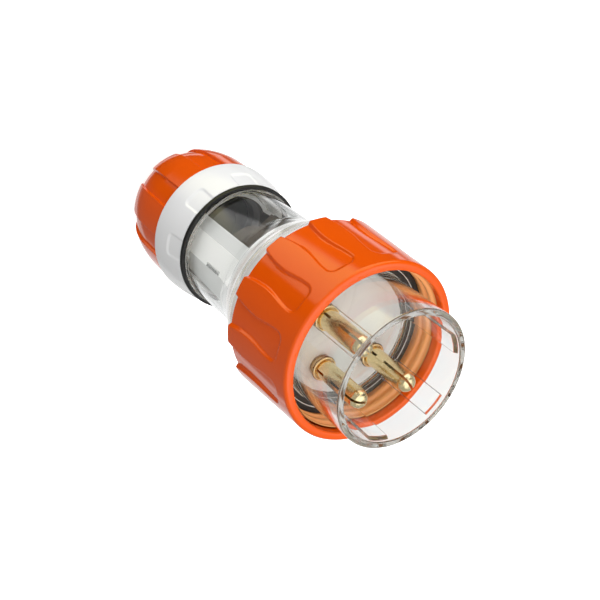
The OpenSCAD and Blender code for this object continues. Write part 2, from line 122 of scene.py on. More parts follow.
def rounded(points, closed=True, steps=5, support=0.25):
    """A profile with its corners rounded. Each point is (r, z, corner radius)."""
    out = []
    n = len(points)
    for i, (r, z, c) in enumerate(points):
        here = np.array([r, z])
        if not closed and i in (0, n - 1) or c <= 0:
            out.append(here)
            continue
        before = np.array(points[i - 1][:2]) - here
        after = np.array(points[(i + 1) % n][:2]) - here
        lb, la = np.linalg.norm(before), np.linalg.norm(after)
        ub, ua = before / lb, after / la
        half = math.acos(max(-1, min(1, float(ub @ ua)))) / 2
        back = min(c / math.tan(half), 0.45 * lb, 0.45 * la)
        c = back * math.tan(half)
        centre = here + (ub + ua) / np.linalg.norm(ub + ua) * c / math.sin(half)
        p0, p1 = here + ub * back, here + ua * back
        if lb - back > 3 * support:
            out.append(p0 + ub * support)
        a0 = math.atan2(*(p0 - centre)[::-1])
        a1 = math.atan2(*(p1 - centre)[::-1])
        d = (a1 - a0 + math.pi) % (2 * math.pi) - math.pi
        for k in range(steps + 1):
            a = a0 + d * k / steps
            out.append(centre + c * np.array([math.cos(a), math.sin(a)]))
        if la - back > 3 * support:
            out.append(p1 + ua * support)
    return np.array(out)


def turned(profile, angles, shift=None):
    """Points of a profile turned about Z. shift(r, z, angle) gives the radius of every point."""
    r = np.repeat(profile[:, 0:1], len(angles), axis=1)
    z = np.repeat(profile[:, 1:2], len(angles), axis=1)
    a = np.repeat(np.radians(angles)[None, :], len(profile), axis=0)
    if shift is not None:
        r = shift(r, z, a)
    return np.stack([r * np.cos(a), r * np.sin(a), z], axis=-1).reshape(-1, 3)


def even(count):
    return np.arange(count) * 360.0 / count


def turned_piece(name, points, body, slot, material, columns=240, steps=5, closed=True,
                 shift=None, angles=None, support=0.25):
    profile = rounded(points, closed, steps, support)
    angles = even(columns) if angles is None else angles
    verts = turned(profile, angles, shift)
    faces = grid_faces(len(profile), len(angles), closed)
    return add_piece(name, verts, faces, body, slot, material)


def joined(parts):
    """Several lots of points and faces as one, with points at the same place made one."""
    verts = np.concatenate([p[0] for p in parts])
    _, first, back = np.unique(np.round(verts, 4), axis=0, return_index=True, return_inverse=True)
    back = back.ravel()
    faces, start = [], 0
    for points, sides in parts:
        faces += [tuple(int(back[start + i]) for i in f) for f in sides]
        start += len(points)
    return verts[first], faces


def circle(radius, angles, middle=(0.0, 0.0)):
    a = np.radians(angles)
    return np.stack([middle[0] + radius * np.cos(a), middle[1] + radius * np.sin(a)], axis=-1)


def pin_places():
    return [(PIN_AT * math.cos(math.radians(a)), PIN_AT * math.sin(math.radians(a)))
            for a in PIN_ANGLES]


HOLE_POINTS = 64


def holed_disc(edge, hole_r, z, up=True):
    """A flat disc with a hole for each pin, as points and triangles."""
    loops = [edge] + [circle(hole_r, even(HOLE_POINTS), at) for at in pin_places()]
    points, edges = [], []
    for loop in loops:
        start = len(points)
        points += [Vector(p) for p in loop]
        edges += [(start + i, start + (i + 1) % len(loop)) for i in range(len(loop))]
    flat, _, faces, *_ = delaunay_2d_cdt(points, edges, [], 0, 1e-6)
    flat = np.array([tuple(p) for p in flat])
    kept = []
    for f in faces:
        middle = flat[list(f)].mean(axis=0)
        if all(math.dist(middle, at) > hole_r * 0.995 for at in pin_places()):
            a, b, c = flat[list(f)]
            left = (b[0] - a[0]) * (c[1] - a[1]) - (b[1] - a[1]) * (c[0] - a[0]) > 0
            kept.append(tuple(f) if left == up else tuple(f)[::-1])
    return np.column_stack([flat, np.full(len(flat), z)]), kept


def pin_walls(points, steps=4, closed=False):
    """A profile turned about each pin's own axis."""
    profile = rounded(points, closed, steps)
    parts = []
    for at in pin_places():
        verts = turned(profile, even(HOLE_POINTS)) + np.array([at[0], at[1], 0.0])
        parts.append((verts, grid_faces(len(profile), HOLE_POINTS, closed)))
    return parts


def smooth(x, low, high):
    t = np.clip((x - low) / (high - low), 0, 1)
    return t * t * (3 - 2 * t)


def fill(profile, step):
    """Adds points so that no stretch of a profile is longer than step."""
    out = []
    for a, b in zip(profile, np.roll(profile, -1, axis=0)):
        k = max(1, int(math.ceil(np.linalg.norm(b - a) / step)))
        out += [a + (b - a) * i / k for i in range(k)]
    return np.array(out)


def wrap(a, pitch):
    """An angle brought to the range of -pitch / 2 to pitch / 2."""
    return (a + pitch / 2) % pitch - pitch / 2


# ------------------------------------------------------------- materials

def new_material(name):
    material = bpy.data.materials.new(name)
    material.use_nodes = True
    nodes = material.node_tree.nodes
    return material, nodes, material.node_tree.links, nodes["Principled BSDF"]


def place_noise(nodes, links, scale, detail=4.0, rough=0.55, stretch=None):
    """Noise on the object's own coordinates."""
    where = nodes.new("ShaderNodeTexCoord")
    noise = nodes.new("ShaderNodeTexNoise")
    noise.inputs["Scale"].default_value = scale
    noise.inputs["Detail"].default_value = detail
    noise.inputs["Roughness"].default_value = rough
    if stretch is None:
        links.new(where.outputs["Object"], noise.inputs["Vector"])
    else:
        mapping = nodes.new("ShaderNodeMapping")
        mapping.inputs["Scale"].default_value = stretch
        links.new(where.outputs["Object"], mapping.inputs["Vector"])
        links.new(mapping.outputs["Vector"], noise.inputs["Vector"])
    return noise


def ramp(nodes, links, source, stops):
    made = nodes.new("ShaderNodeValToRGB")
    made.color_ramp.elements[0].position = stops[0][0]
    made.color_ramp.elements[0].color = stops[0][1]
    made.color_ramp.elements[1].position = stops[-1][0]
    made.color_ramp.elements[1].color = stops[-1][1]
    for at, colour in stops[1:-1]:
        made.color_ramp.elements.new(at).color = colour
    links.new(source, made.inputs["Fac"])
    return made


def spread(nodes, links, source, low, high):
    made = nodes.new("ShaderNodeMapRange")
    made.inputs["From Min"].default_value = 0.3
    made.inputs["From Max"].default_value = 0.7
    made.inputs["To Min"].default_value = low
    made.inputs["To Max"].default_value = high
    links.new(source, made.inputs["Value"])
    return made.outputs["Result"]


def bump(nodes, links, source, strength, distance):
    made = nodes.new("ShaderNodeBump")
    made.inputs["Strength"].default_value = strength
    made.inputs["Distance"].default_value = distance
    links.new(source, made.inputs["Height"])
    return made.outputs["Normal"]


def moulded(name, dark, light, rough_low, rough_high, grain=1800, ripple=0.08, ior=1.5, scatter=0.0):
    """Moulded plastic: slow changes of colour, a fine skin, and faint flow ripples in its gloss."""
    material, nodes, links, shader = new_material(name)
    slow = place_noise(nodes, links, 28)
    fine = place_noise(nodes, links, grain, 6.0, 0.6)
    flow = place_noise(nodes, links, 90, 2.0, 0.4, (1, 1, 0.25))
    colour = ramp(nodes, links, slow.outputs["Fac"], [(0.3, (*dark, 1)), (0.7, (*light, 1))])
    links.new(colour.outputs["Color"], shader.inputs["Base Color"])
    links.new(spread(nodes, links, fine.outputs["Fac"], rough_low, rough_high),
              shader.inputs["Roughness"])
    first = bump(nodes, links, fine.outputs["Fac"], 0.04, 0.00004)
    second = nodes.new("ShaderNodeBump")
    second.inputs["Strength"].default_value = ripple
    second.inputs["Distance"].default_value = 0.0004
    links.new(flow.outputs["Fac"], second.inputs["Height"])
    links.new(first, second.inputs["Normal"])
    links.new(second.outputs["Normal"], shader.inputs["Normal"])
    shader.inputs["IOR"].default_value = ior
    if scatter:
        shader.inputs["Subsurface Weight"].default_value = scatter
        shader.inputs["Subsurface Radius"].default_value = (0.004, 0.0016, 0.0006)
        shader.inputs["Subsurface Scale"].default_value = 0.5
    return material


def clear(name, tint_dark, tint_light, rough_low=0.0, rough_high=0.03, ior=1.55, ripple=0.10):
    """Clear polycarbonate: a faint tint, flow ripples, and small marks in its polish."""
    material, nodes, links, shader = new_material(name)
    slow = place_noise(nodes, links, 35)
    fine = place_noise(nodes, links, 900, 5.0, 0.6)
    flow = place_noise(nodes, links, 120, 2.0, 0.4, (1, 1, 0.4))
    colour = ramp(nodes, links, slow.outputs["Fac"],
                  [(0.3, (*tint_dark, 1)), (0.7, (*tint_light, 1))])
    links.new(colour.outputs["Color"], shader.inputs["Base Color"])
    links.new(spread(nodes, links, fine.outputs["Fac"], rough_low, rough_high),
              shader.inputs["Roughness"])
    links.new(bump(nodes, links, flow.outputs["Fac"], ripple, 0.0004), shader.inputs["Normal"])
    shader.inputs["Transmission Weight"].default_value = 1.0
    shader.inputs["IOR"].default_value = ior
    return material


# How far the metals' painted shade looks for nearby surfaces in slots and hollows
CAVITY = 0.0012


def metal(name, dark, light, rough_low, rough_high, turning=(1, 1, 40), strength=0.05):
    """Turned metal: fine rings round the axis, slow changes of tone, small marks, and painted shade that
    darkens its slots and hollows.
    """
    material, nodes, links, shader = new_material(name)
    slow = place_noise(nodes, links, 220)
    rings = place_noise(nodes, links, 120, 3.0, 0.6, turning)
    marks = place_noise(nodes, links, 2500, 3.0, 0.6)
    colour = ramp(nodes, links, slow.outputs["Fac"], [(0.3, (*dark, 1)), (0.7, (*light, 1))])
    # Painted shade: ambient occlusion darkens the base colour to dark brown in slots and hollows, where
    # shade falls.
    open_air = nodes.new("ShaderNodeAmbientOcclusion")
    open_air.only_local = True
    open_air.inputs["Distance"].default_value = CAVITY
    painted_shade = ramp(nodes, links, open_air.outputs["AO"],
                 [(0.35, (0.06, 0.045, 0.03, 1)), (0.7, (1, 1, 1, 1))])
    painted_slot_shade = nodes.new("ShaderNodeMix")
    painted_slot_shade.data_type = "RGBA"
    painted_slot_shade.blend_type = "MULTIPLY"
    painted_slot_shade.inputs["Factor"].default_value = 1.0
    links.new(colour.outputs["Color"], painted_slot_shade.inputs["A"])
    links.new(painted_shade.outputs["Color"], painted_slot_shade.inputs["B"])
    links.new(painted_slot_shade.outputs["Result"], shader.inputs["Base Color"])
    links.new(spread(nodes, links, marks.outputs["Fac"], rough_low, rough_high),
              shader.inputs["Roughness"])
    links.new(bump(nodes, links, rings.outputs["Fac"], strength, 0.0001), shader.inputs["Normal"])
    shader.inputs["Metallic"].default_value = 1.0
    return material


ORANGE = moulded("moulded_orange", (0.83, 0.094, 0.0), (0.88, 0.104, 0.001), 0.06, 0.11)
# Painted light: a paler, lighter copy of the ring's orange plastic for its inside, standing in for the light
# and pale reflections there.
ORANGE_PAINTED_LIGHT = moulded("moulded_orange_painted_light", (0.98, 0.43, 0.15), (1.0, 0.47, 0.18), 0.14, 0.22)
WHITE = moulded("semi_gloss_white", (0.86, 0.865, 0.86), (0.91, 0.91, 0.905), 0.16, 0.24)
LINER = moulded("plate_white", (0.60, 0.595, 0.58), (0.66, 0.655, 0.64), 0.7, 0.8)
LABEL = moulded("label_card", (0.93, 0.92, 0.89), (0.96, 0.95, 0.92), 0.4, 0.5)
COVER = moulded("cover_moulding", (0.68, 0.68, 0.66), (0.76, 0.76, 0.74), 0.12, 0.2)
PALE = moulded("pale_moulding", (0.74, 0.74, 0.70), (0.80, 0.80, 0.76), 0.3, 0.42)
GREY = moulded("grey_moulding", (0.10, 0.10, 0.105), (0.14, 0.14, 0.145), 0.35, 0.5)
RUBBER = moulded("black_rubber", (0.004, 0.004, 0.004), (0.010, 0.010, 0.009), 0.45, 0.6,
                 ripple=0.15)
GASKET = moulded("gasket_rubber", (0.016, 0.016, 0.014), (0.028, 0.027, 0.023), 0.5, 0.7,
                 ripple=0.2)
SILICONE = moulded("pale_silicone", (0.66, 0.63, 0.52), (0.74, 0.71, 0.60), 0.3, 0.45)
BROWN = moulded("brown_moulding", (0.055, 0.042, 0.028), (0.14, 0.105, 0.07), 0.5, 0.65)
CLEAR = clear("clear_polycarbonate", (0.95, 0.97, 0.965), (0.985, 0.99, 0.985))
CLEAR_NECK = clear("clear_neck_polycarbonate", (0.95, 0.97, 0.965), (0.985, 0.99, 0.985), ripple=0.02)
BRASS = metal("turned_brass", (0.84, 0.69, 0.38), (0.92, 0.79, 0.48), 0.18, 0.30)
STEEL = metal("plated_steel", (0.60, 0.60, 0.58), (0.70, 0.70, 0.68), 0.2, 0.32, (1, 1, 1))

# ----------------------------------------------------------- locking ring

RECESS_COUNT = 12
RECESS_PITCH = 360 / RECESS_COUNT
RECESS_PHASE = 1.3
RECESS_DEPTH = 1.4
RECESS_FRONT_DEPTH = 0.63
RECESS_LENGTH = 29.5
RECESS_CORNER = 3.4
RECESS_EDGE = 1.1


def recess_half(t):
    """Half the width of a grip recess, from its rear edge at 0 to its closed end at 1."""
    waist_t = 0.42
    rear = 4.4 + 1.6 * (1 - t / waist_t) ** 2
    front = 4.4 + 1.3 * np.sin(np.pi / 2 * np.clip((t - waist_t) / 0.45, 0, 1)) ** 2
    return np.where(t < waist_t, rear, front)


def recess_share(z, angle):
    """How deep a point of the ring's outside lies in a recess: 0 outside it, and 1 on its floor."""
    up = z - RING_Z0
    across = np.abs(np.radians(wrap(np.degrees(angle) - RECESS_PHASE, RECESS_PITCH))) * RING_REAR_R
    half = recess_half(np.clip(up / RECESS_LENGTH, 0, 1))
    qx = across - (half - RECESS_CORNER)
    qz = up - (RECESS_LENGTH - RECESS_CORNER)
    outside = np.hypot(np.maximum(qx, 0), np.maximum(qz, 0)) + np.minimum(np.maximum(qx, qz), 0)
    return smooth(RECESS_CORNER - outside, -0.25, RECESS_EDGE - 0.25)


def ring_shift(r, z, angle):
    t = np.clip((z - RING_Z0) / RECESS_LENGTH, 0, 1)
    depth = RECESS_DEPTH + (RECESS_FRONT_DEPTH - RECESS_DEPTH) * t
    outer = smooth(r, 33.4, 34.2)
    return r - depth * recess_share(z, angle) * outer


half_pitch = np.concatenate([np.linspace(0, 3.6, 7, endpoint=False),
                             np.linspace(3.6, 6.8, 15, endpoint=False),
                             np.linspace(6.8, 9.3, 6, endpoint=False)])
half_angles = np.degrees(half_pitch / RING_REAR_R)
one_pitch = np.concatenate([-half_angles[:0:-1], half_angles])
ring_angles = np.concatenate([RECESS_PHASE + i * RECESS_PITCH + one_pitch
                              for i in range(RECESS_COUNT)])

ring_outline = rounded([
    (MOUTH_R + 0.02, RING_Z1 - 3, 0), (MOUTH_R + 0.02, RING_Z1, 0.7),
    (RING_FRONT_R, RING_Z1, 2.0), (RING_REAR_R, RING_Z0, 0.6), (33.02, RING_Z0, 0.3),
    (33.02, RING_Z0 + 3, 0)], closed=False)
outer_rows = []
for a, b in zip(ring_outline[:-1], ring_outline[1:]):
    k = max(1, int(math.ceil(np.linalg.norm(b - a) / 0.38))) if min(a[0], b[0]) > 33.5 else 1
    outer_rows += [a + (b - a) * i / k for i in range(k)]
outer_rows.append(ring_outline[-1])
outer_rows = np.array(outer_rows)
shell = add_piece("ring_shell", turned(outer_rows, ring_angles, ring_shift),
                  grid_faces(len(outer_rows), len(ring_angles), False),
                  "ring", "orange_plastic", ORANGE)
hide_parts("locking_ring")

THREAD_PITCH = 4.0
THREAD_Z0 = gasket_high[2] + 0.4
THREAD_Z1 = RING_Z1 - 2.2
THREAD_H = 0.95


def thread_shift(r, z, angle):
    turns = (z / THREAD_PITCH - angle / (2 * np.pi)) % 1.0
    ridge = smooth(turns, 0.12, 0.34) * (1 - smooth(turns, 0.66, 0.88))
    ends = smooth(z, THREAD_Z0, THREAD_Z0 + 1.0) * (1 - smooth(z, THREAD_Z1 - 1.2, THREAD_Z1))
    return r - THREAD_H * ridge * ends * (r < MOUTH_R + 0.1)


LIP_TOP = 122.4
LIP_Z = 118.0
LIP_IN = 27.1
inside = rounded([
    (33.02, RING_Z0 + 3, 0), (33.02, LIP_Z, 0.3), (LIP_IN, LIP_Z, 0.3), (LIP_IN, LIP_TOP, 0.3),
    (MOUTH_R + 0.02, LIP_TOP, 0.3), (MOUTH_R + 0.02, RING_Z1 - 3, 0)], closed=False)
inner_rows = []
for a, b in zip(inside[:-1], inside[1:]):
    k = max(1, int(math.ceil(np.linalg.norm(b - a) / 0.3))) if abs(a[0] - b[0]) < 0.1 else 1
    inner_rows += [a + (b - a) * i / k for i in range(k)]
inner_rows.append(inside[-1])
inner_rows = np.array(inner_rows)
# The ring's inside, threads and lip, takes the lighter copy of the orange that paints in its light.
add_piece("ring_thread", turned(inner_rows[::-1], even(360), thread_shift),
          [f[::-1] for f in grid_faces(len(inner_rows), 360, False)],
          "ring", "orange_plastic", ORANGE_PAINTED_LIGHT)

# ------------------------------------------------------------ clear shroud

KEY_ANGLES = (0, 180, -118, 118)
KEY_HALF = 10.5
KEY_H = 0.9
KEY_SIDE = 0.16
key_columns = np.concatenate([k + side * (KEY_HALF + np.linspace(-0.6, 0.6, 13))
                              for k in KEY_ANGLES for side in (-1, 1)])
shroud_angles = np.unique(np.round(np.concatenate([even(400), key_columns % 360]), 3))


def key_shift(r, z, angle):
    depth = np.zeros_like(r)
    for a in KEY_ANGLES:
        off = np.abs(wrap(np.degrees(angle) - a, 360))
        depth = np.maximum(depth, 1 - smooth(off, KEY_HALF - KEY_SIDE, KEY_HALF + KEY_SIDE))
    inner = (r < SHROUD_IN + 0.01) & (z > PLATE_Z + 0.01)
    tall = smooth(z, PLATE_Z, PLATE_Z + 0.3) * (1 - smooth(z, RIM_Z - 2.3, RIM_Z - 1.2))
    return r - KEY_H * depth * tall * inner


SKIRT_R = SHROUD_R + 1.0
SKIRT_IN = 24.4
SKIRT_Z = shroud_low[2]
BODY_FLANGE_R = 30.6
BODY_FLANGE_Z = 122.6
GASKET_Z = gasket_high[2]
GASKET_BACK = gasket_low[2] - 0.02
ROOT_R = SHROUD_R + 0.3
PLATE_LOOP_R = 22.4
COUNTERBORE_R = PIN_R + 0.85
PIN_HOLE_R = PIN_R + 0.28
shroud_outline = rounded([
    (PLATE_LOOP_R, LINER_TOP, 0), (SKIRT_IN, LINER_TOP, 0.3), (SKIRT_IN, SKIRT_Z, 0.3),
    (SKIRT_R, SKIRT_Z, 0.3), (SKIRT_R, BODY_FLANGE_Z, 0.3), (BODY_FLANGE_R, BODY_FLANGE_Z, 0.3),
    (BODY_FLANGE_R, GASKET_BACK, 0.3), (ROOT_R, GASKET_BACK, 0.2), (ROOT_R, GASKET_Z, 0.1),
    (SHROUD_R, GASKET_Z + 0.02, 0.1), (SHROUD_R, RIM_Z, 0.5),
    (SHROUD_IN, RIM_Z, 0.5), (SHROUD_IN, PLATE_Z, 0.6), (PLATE_LOOP_R, PLATE_Z, 0)], closed=False)
rows = []
for a, b in zip(shroud_outline[:-1], shroud_outline[1:]):
    long_inner = abs(a[0] - SHROUD_IN) < 0.01 and abs(b[0] - SHROUD_IN) < 0.01
    k = max(1, int(math.ceil(np.linalg.norm(b - a) / 0.5))) if long_inner else 1
    rows += [a + (b - a) * i / k for i in range(k)]
rows.append(shroud_outline[-1])
rows = np.array(rows)
plate_holes = pin_walls([
    (COUNTERBORE_R + 0.4, PLATE_Z, 0), (COUNTERBORE_R, PLATE_Z, 0.12),
    (COUNTERBORE_R, PLATE_Z - 0.8, 0.1), (PIN_HOLE_R, PLATE_Z - 0.8, 0.1),
    (PIN_HOLE_R, LINER_TOP, 0.1), (PIN_HOLE_R + 0.4, LINER_TOP, 0)])
shroud = add_piece("clear_shroud", *joined([
    (turned(rows, shroud_angles, key_shift), grid_faces(len(rows), len(shroud_angles), False)),
    holed_disc(circle(PLATE_LOOP_R, shroud_angles), COUNTERBORE_R + 0.4, PLATE_Z),
    holed_disc(circle(PLATE_LOOP_R, shroud_angles), PIN_HOLE_R + 0.4, LINER_TOP, False)]
    + [(v, [f[::-1] for f in sides]) for v, sides in plate_holes]),
    "plug_body", "clear_plastic", CLEAR)
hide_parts("shroud_body")

LINER_R = SKIRT_IN - 0.15
LINER_Z = LINER_TOP - 0.05
liner_edge = rounded([(LINER_R - 1, PLATE_BACK + 0.02, 0), (LINER_R, PLATE_BACK + 0.02, 0.15),
                      (LINER_R, LINER_Z, 0.15), (LINER_R - 1, LINER_Z, 0)], closed=False)
liner_holes = pin_walls([
    (PIN_HOLE_R + 0.4, LINER_Z, 0), (PIN_HOLE_R, LINER_Z, 0.1),
    (PIN_HOLE_R, PLATE_BACK + 0.02, 0.1), (PIN_HOLE_R + 0.4, PLATE_BACK + 0.02, 0)])
add_piece("plate_liner", *joined([
    (turned(liner_edge, even(240)), grid_faces(len(liner_edge), 240, False)),
    holed_disc(circle(LINER_R - 1, even(240)), PIN_HOLE_R + 0.4, LINER_Z),
    holed_disc(circle(LINER_R - 1, even(240)), PIN_HOLE_R + 0.4, PLATE_BACK + 0.02, False)]
    + [(v, [f[::-1] for f in sides]) for v, sides in liner_holes]),
    "plug_body", "white_plastic", LINER)

for name, part in zip(("left_pin_bush", "right_pin_bush", "earth_pin_bush"), pin_walls([
        (PIN_R + 0.1, PLATE_Z - 0.75, 0.1), (COUNTERBORE_R - 0.04, PLATE_Z - 0.75, 0.1),
        (COUNTERBORE_R - 0.04, PLATE_Z + 0.02, 0.1), (COUNTERBORE_R + 0.2, PLATE_Z + 0.02, 0.1),
        (COUNTERBORE_R + 0.2, PLATE_Z + 0.7, 0.25), (PIN_R + 0.4, PLATE_Z + 0.7, 0.25),
        (PIN_R + 0.4, PLATE_Z - 0.5, 0.1), (PIN_R + 0.1, PLATE_Z - 0.5, 0.05)], closed=True)):
    add_piece(name, *part, "plug_body", "brass", BRASS)

# ----------------------------------------------------------- clear neck

COLLAR_TOP = collar_high[2]
SEAL_Z0, SEAL_Z1 = seal_low[2], seal_high[2]
NECK_R = 24.6
NECK_IN = 22.0
NECK_Z = SEAL_Z1 + 1.6
SHOULDER_Z = NECK_Z + 25
FLANGE_Z = SHOULDER_Z + 22
FLANGE_R = 32.6
shoulder = []
for i in range(25):
    t = i / 24
    step = 0.5 * float(smooth(np.array(t), 0.60, 0.64)) * (1 - max(0, (t - 0.64) / 0.36))
    shoulder.append((NECK_R + (FLANGE_R - NECK_R) * t ** 1.35 + step, SHOULDER_Z + t * 22, 0))
neck_outline = rounded(
    [(20.6, 40, 0.3), (24.3, 40, 0.3), (24.3, SEAL_Z0, 0), (NECK_R, SEAL_Z0, 0),
     (NECK_R, SEAL_Z1, 0.1), (NECK_R + 0.7, SEAL_Z1 + 0.05, 0.3), (NECK_R + 0.7, NECK_Z - 0.5, 0.3),
     (NECK_R, NECK_Z, 0.3)] + shoulder
    + [(FLANGE_R, RING_Z0 + 1.5, 0.3), (30.0, RING_Z0 + 2.5, 0.3), (30.0, 117.8, 0.3),
       (27.05, 117.8, 0.3), (27.05, FLANGE_Z - 6, 0.2), (SKIRT_IN, FLANGE_Z - 6, 0.2),
       (SKIRT_IN, FLANGE_Z - 14, 0.2), (SKIRT_IN - 1.2, FLANGE_Z - 14, 0.3),
       (NECK_IN, FLANGE_Z - 20, 1.5), (NECK_IN, 43.4, 0.5),
       (20.6, 42, 0.3)])
neck = add_piece("clear_neck", turned(neck_outline, even(360)),
                 grid_faces(len(neck_outline), 360, True), "plug_body", "clear_plastic",
                 CLEAR_NECK)
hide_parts("rear_housing")

# ------------------------------------------------- gland collar and cap

POCKET_COUNT = 8
POCKET_PITCH = 360 / POCKET_COUNT
POCKET_PHASE = -8.7
POCKET_HALF = 10.0
COLLAR_Z = collar_low[2]
COLLAR_Z = 35.0
COLLAR_R = 28.9
COLLAR_FRONT_R = 26.6
COLLAR_LEN = COLLAR_TOP - COLLAR_Z


def collar_shift(r, z, angle):
    off = np.abs(wrap(np.degrees(angle) - POCKET_PHASE, POCKET_PITCH))
    across = np.radians(off) * COLLAR_R
    half = math.radians(POCKET_HALF) * COLLAR_R
    up = COLLAR_TOP - z
    corner = 2.2
    qx = across - (half - corner)
    qz = up - (COLLAR_LEN * 0.48 - corner)
    outside = np.hypot(np.maximum(qx, 0), np.maximum(qz, 0)) + np.minimum(np.maximum(qx, qz), 0)
    share = smooth(corner - outside, -0.3, 1.0)
    return r - 0.45 * share * smooth(r, 25.6, 26.2)


def clustered(count, phase, edge, fine, coarse_in, coarse_out, width=1.2):
    """Column angles around a body, closer together near the sides of a repeated form."""
    pitch = 360 / count
    half = np.concatenate([np.linspace(0, edge - width, coarse_in, endpoint=False),
                           np.linspace(edge - width, edge + width, fine, endpoint=False),
                           np.linspace(edge + width, pitch / 2, coarse_out, endpoint=False)])
    one = np.concatenate([-half[:0:-1], half])
    return np.concatenate([phase + i * pitch + one for i in range(count)])


collar_rows = [(19.2, 12, 0.3), (23.4, 12, 0.6), (23.4, COLLAR_Z, 0), (COLLAR_R, COLLAR_Z, 0.4)]
for i in range(1, 41):
    t = 0.03 + 0.97 * i / 40
    collar_rows.append((COLLAR_R - (COLLAR_R - COLLAR_FRONT_R) * t ** 1.6,
                        COLLAR_Z + t * COLLAR_LEN, 0.35 if i == 40 else 0))
collar_rows += [(24.4, COLLAR_TOP, 0.2), (24.4, 39.8, 0), (21.35, 39.8, 0), (21.35, 37.45, 0),
                (19.2, 37.45, 0)]
collar_angles = clustered(POCKET_COUNT, POCKET_PHASE, POCKET_HALF, 12, 8, 8, 1.8)
collar_profile = rounded(collar_rows)
collar = add_piece("white_collar", turned(collar_profile, collar_angles, collar_shift),
                   grid_faces(len(collar_profile), len(collar_angles), True),
                   "collar", "white_plastic", WHITE)
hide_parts("gland_collar")

CAP_LEN = cap_high[2]
CAP_R = 28.2
CAP_END_R = 17.5
DOME_H = 24.0
FLUTE_COUNT = 8
FLUTE_PHASE = 3.3
FLUTE_HALF = 9.75
FLUTE_DEPTH = 1.1


def cap_shift(r, z, angle):
    off = np.abs(wrap(np.degrees(angle) - FLUTE_PHASE, 360 / FLUTE_COUNT))
    across = (FLUTE_HALF - off) * np.pi / 180 * np.maximum(r, 20)
    share = smooth(across, -0.05, 0.55)
    return r - FLUTE_DEPTH * share * smooth(r, CAP_END_R - 2.2, CAP_END_R - 0.6) \
        * (z < CAP_LEN + 1)


cap_rows = [(23.5, CAP_LEN, 0.3), (28.4, CAP_LEN, 0.3)]
for i in range(1, 12):
    cap_rows.append((28.4 - 0.2 * i / 12, CAP_LEN - (CAP_LEN - DOME_H) * i / 12, 0))
for i in range(0, 41):
    a = math.pi / 2 * i / 41
    cap_rows.append((CAP_END_R + (CAP_R - CAP_END_R) * math.cos(a), DOME_H * (1 - math.sin(a)), 0))
cap_rows += [(CAP_END_R - 0.1, 0, 0), (CAP_END_R - 1.0, 0, 0), (CAP_END_R - 2.2, 0, 0),
             (11.1, 0, 0), (10.5, 0.6, 0.2), (10.5, 5, 0.3), (20.5, 5, 0), (20.5, 9.5, 0.2),
             (23.5, 9.5, 0.2)]
cap_angles = clustered(FLUTE_COUNT, FLUTE_PHASE, FLUTE_HALF - 0.5, 14, 7, 8, 1.4)
cap_profile = rounded(cap_rows)
cap = add_piece("orange_cap", turned(cap_profile, cap_angles, cap_shift),
                [f[::-1] for f in grid_faces(len(cap_profile), len(cap_angles), True)],
                "cap", "orange_plastic", ORANGE)
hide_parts("gland_cap")

# ------------------------------------------------------------ rubber parts

seal = turned_piece("black_seal", [
    (24.63, SEAL_Z0, 0.1), (COLLAR_FRONT_R, SEAL_Z0, 0.5), (COLLAR_FRONT_R, SEAL_Z1, 0.5),
    (24.63, SEAL_Z1, 0.1)], "plug_body", "rubber", RUBBER)
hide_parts("collar_seal")

GROOVE_R = (SHROUD_R + BODY_FLANGE_R) / 2
gasket = turned_piece("face_seal", [
    (ROOT_R + 0.02, gasket_low[2], 0.1), (BODY_FLANGE_R, gasket_low[2], 0.2), (BODY_FLANGE_R, GASKET_Z, 0.4),
    (GROOVE_R + 0.35, GASKET_Z, 0.1), (GROOVE_R, GASKET_Z - 0.5, 0.1),
    (GROOVE_R - 0.35, GASKET_Z, 0.1), (ROOT_R + 0.02, GASKET_Z, 0.2)], "plug_body", "rubber", GASKET)
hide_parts("face_gasket")
# Painted highlight: a pale rib in the black gasket's groove stands in for the thin line of light along its
# sealing bead.
turned_piece("gasket_painted_highlight_rib", [
    (GROOVE_R - 0.14, GASKET_Z - 0.5, 0.05), (GROOVE_R + 0.14, GASKET_Z - 0.5, 0.05),
    (GROOVE_R + 0.14, GASKET_Z + 0.05, 0.1), (GROOVE_R - 0.14, GASKET_Z + 0.05, 0.1)],
    "plug_body", "rubber", PALE)

# ------------------------------------------------ CAD nodes that are kept

for node, material in {
        "pin_left": BRASS, "pin_right": BRASS, "pin_earth": BRASS, "left_terminal_screws": STEEL,
        "right_terminal_screws": STEEL, "earth_terminal_screws": STEEL, "pin_retainer": PALE,
        "retainer_screw": STEEL, "housing_seal": SILICONE, "clamp_saddle": BROWN, "clamp_bar": BROWN, "clamp_screws": STEEL, "grip_cage": GREY, "gland_grommet": RUBBER,
        "slip_washer": PALE}.items():
    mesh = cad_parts[node].data
    mesh.materials.clear()
    mesh.materials.append(material)

# ------------------------------------------------------------ terminal cover

cover_low, cover_high = span("terminal_cover")
COVER_FLAT_R = 19.2
COVER_IN = 17.6
FLAT_PITCH = 30
LABEL_MIDDLE = 25
LEDGE_Z = cover_high[2] - 2
WINDOW_Z0, WINDOW_Z1 = SEAL_Z0 - 6, LEDGE_Z - 2
WINDOW_A0, WINDOW_A1 = -113, -5
cover_rows = np.array([cover_low[2], WINDOW_Z0, WINDOW_Z1, LEDGE_Z + 0.05])
cover_angles = np.unique(np.concatenate([
    np.arange(10, 370, FLAT_PITCH), np.arange(10, 370, 5),
    [WINDOW_A0 + 360, WINDOW_A1 + 360]]))


